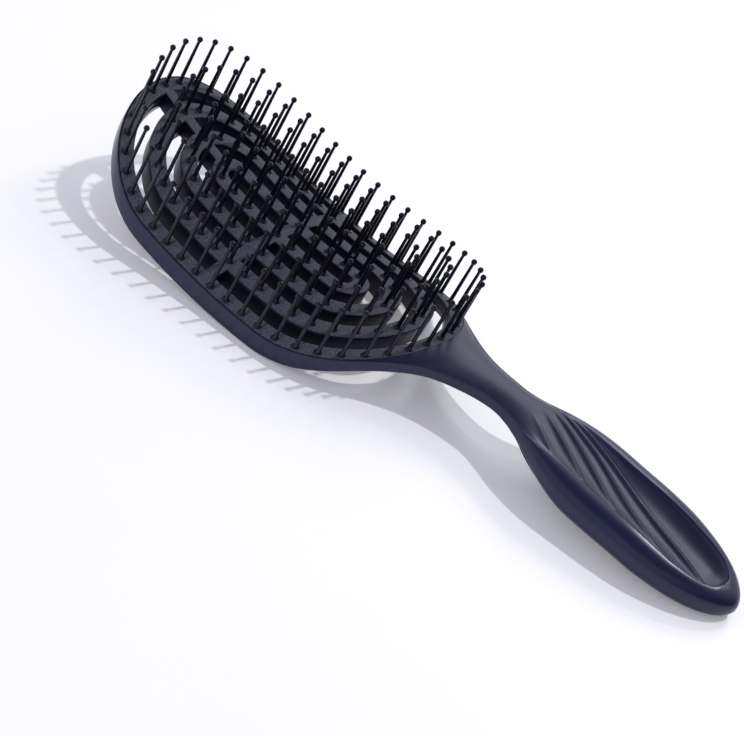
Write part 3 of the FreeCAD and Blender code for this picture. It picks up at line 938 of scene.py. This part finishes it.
# %% One pin and its rows
PIN_OUTLINE = [(1.28, -0.14), (1.26, 0.10), (1.16, 0.26), (0.98, 0.34), (0.80, 0.40), (0.67, 0.64), (0.60, 1.5),
               (0.55, 8.0), (0.47, 15.3), (0.55, 15.50), (0.74, 15.74), (0.86, 16.02), (0.90, 16.32), (0.85, 16.62),
               (0.68, 16.92), (0.40, 17.12), (0.0, 17.18)]
PIN_SIDES = 12
FEWEST_PINS, ADDED_PINS = 20, 10
LEAN_HEIGHT = 2.0


def oval_point(radius, travel):
    """The plan point at a distance along an oval, from the middle of its near side towards the head's end."""
    arc = math.pi * radius
    travel = travel % (2 * HEAD_STRAIGHT + 2 * arc)
    if travel <= HEAD_STRAIGHT / 2:
        return -travel, -radius
    travel -= HEAD_STRAIGHT / 2
    if travel <= arc:
        turn = -math.pi / 2 - travel / radius
        return -HALF_STRAIGHT + radius * math.cos(turn), radius * math.sin(turn)
    travel -= arc
    if travel <= HEAD_STRAIGHT:
        return -HALF_STRAIGHT + travel, radius
    travel -= HEAD_STRAIGHT
    if travel <= arc:
        turn = math.pi / 2 - travel / radius
        return HALF_STRAIGHT + radius * math.cos(turn), radius * math.sin(turn)
    return HALF_STRAIGHT - (travel - arc), -radius


def pin_rows(number):
    """Points and faces of all pins on one ring."""
    radius = INNER_ROW + number * ROW_STEP
    count = FEWEST_PINS + ADDED_PINS * number
    spacing = (2 * HEAD_STRAIGHT + 2 * math.pi * radius) / count
    points, faces = [], []
    for index in range(count):
        x, y = oval_point(radius, (number % 2) * spacing / 2 + index * spacing)
        slope_x, slope_y = x / BOW_RADIUS, -y / CROWN_RADIUS
        offset = len(points)
        for reach, height in PIN_OUTLINE:
            lean = max(0.0, 1 - height / LEAN_HEIGHT)
            for side in range(PIN_SIDES):
                turn = 2 * math.pi * side / PIN_SIDES
                dx, dy = reach * math.cos(turn), reach * math.sin(turn)
                tilt = lean * (slope_x * dx + slope_y * dy)
                points.append((x + dx, y + dy, face_height(x, y) + height + tilt))
        faces += grid_faces(len(PIN_OUTLINE), PIN_SIDES, False, True, offset)
        faces.append(tuple(range(offset, offset + PIN_SIDES)))
    return points, faces


for number, node in enumerate(RING_NAMES):
    points, faces = pin_rows(number)
    make_piece(node + "_tips", points, faces, NYLON, (node + "_pins",))

# %% [markdown]
# ## Floor and light
# The brush lies on a pale glossy sheet, which glows faintly so that it stays white beside the shadow.
# One lamp from the far side gives the shadow that falls towards the near side and the head's end. It isn't seen
# in reflections, because the dark streaks along the grip show none. Those come from the room instead:
# it is bright low down all round, and dark overhead and beyond the heel. A softbox at the back lights the tops,
# and a small strip gives the white line on the crest near the heel.

# %% Floor
SHEET_WHITES = (0.90, 0.90, 0.92, 1), (0.93, 0.93, 0.945, 1)
SHEET_GLOW = (1.0, 0.99, 1.0, 1)
HALF_SHEET = 3


def pale_sheet():
    finish = Finish(bpy.data.materials.new("pale_sheet"))
    cloud = finish.noise(30.0, 2.0)
    colour = finish.blend(cloud, *SHEET_WHITES)
    return finish.surface({"Base Color": colour, "Roughness": 0.30, "IOR": 1.45,
                           "Emission Color": SHEET_GLOW, "Emission Strength": 0.19})


floor_mesh = bpy.data.meshes.new("floor")
sheet_corners = [(x * HALF_SHEET, y * HALF_SHEET, 0) for x, y in ((-1, -1), (1, -1), (1, 1), (-1, 1))]
floor_mesh.from_pydata(sheet_corners, [], [(0, 1, 2, 3)])
floor_mesh.materials.append(pale_sheet())
floor = bpy.data.objects.new("floor", floor_mesh)
bpy.context.scene.collection.objects.link(floor)
print("floor laid")

# %% Lamp and softboxes
LAMP_TINT = (0.93, 0.94, 1.0)
SHADOW_FALL = Vector((-0.24, -0.52, -1.0))
lamp_data = bpy.data.lights.new("key_lamp", "SUN")
lamp_data.energy = 1.2
lamp_data.angle = math.radians(2.5)
lamp = bpy.data.objects.new("key_lamp", lamp_data)
lamp.rotation_euler = SHADOW_FALL.to_track_quat("-Z", "Y").to_euler()
lamp.visible_glossy = False
bpy.context.scene.collection.objects.link(lamp)


def add_softbox(name, place, aim, wide, tall, power):
    """A rectangle of light, turned towards a point."""
    light = bpy.data.lights.new(name, "AREA")
    light.shape = "RECTANGLE"
    light.size = wide
    light.size_y = tall
    light.energy = power
    light.color = LAMP_TINT
    softbox = bpy.data.objects.new(name, light)
    softbox.location = place
    softbox.rotation_euler = (Vector(aim) - Vector(place)).to_track_quat("-Z", "Y").to_euler()
    bpy.context.scene.collection.objects.link(softbox)


add_softbox("back_softbox", (-0.24, 0.84, 0.55), (0, 0, 0), 0.45, 0.25, 0.8)
add_softbox("heel_strip", (0.076, 0.712, 0.637), (0.09, 0, 0.02), 0.10, 0.06, 0.7)
print("lamp and softboxes hung")

# %% Room
LOW_GLOW = (0.82, 0.82, 0.94, 1)
OVERHEAD_GLOW = (0.20, 0.20, 0.29, 1)
HEEL_GLOW = (0.13, 0.13, 0.19, 1)
room = Finish(bpy.data.worlds.new("white_room"))
bpy.context.scene.world = room.owner
direction = room.node("ShaderNodeTexCoord", {}, {}, "Generated")
skyward = room.node("ShaderNodeSeparateXYZ", {}, {0: direction}, "Z")
heelward = room.node("ShaderNodeSeparateXYZ", {}, {0: direction}, "X")
overhead = ((skyward - 0.72) * 4.0).clipped()
dim_end = (heelward * 1.6 - 0.4).clipped()
glow = room.blend(dim_end, room.blend(overhead, LOW_GLOW, OVERHEAD_GLOW), HEEL_GLOW)
fill = room.node("ShaderNodeBackground", {}, {"Color": glow, "Strength": 0.86})
room.node("ShaderNodeOutputWorld", {}, {"Surface": fill})
bpy.context.scene.view_settings.view_transform = "Standard"
print("room ready")
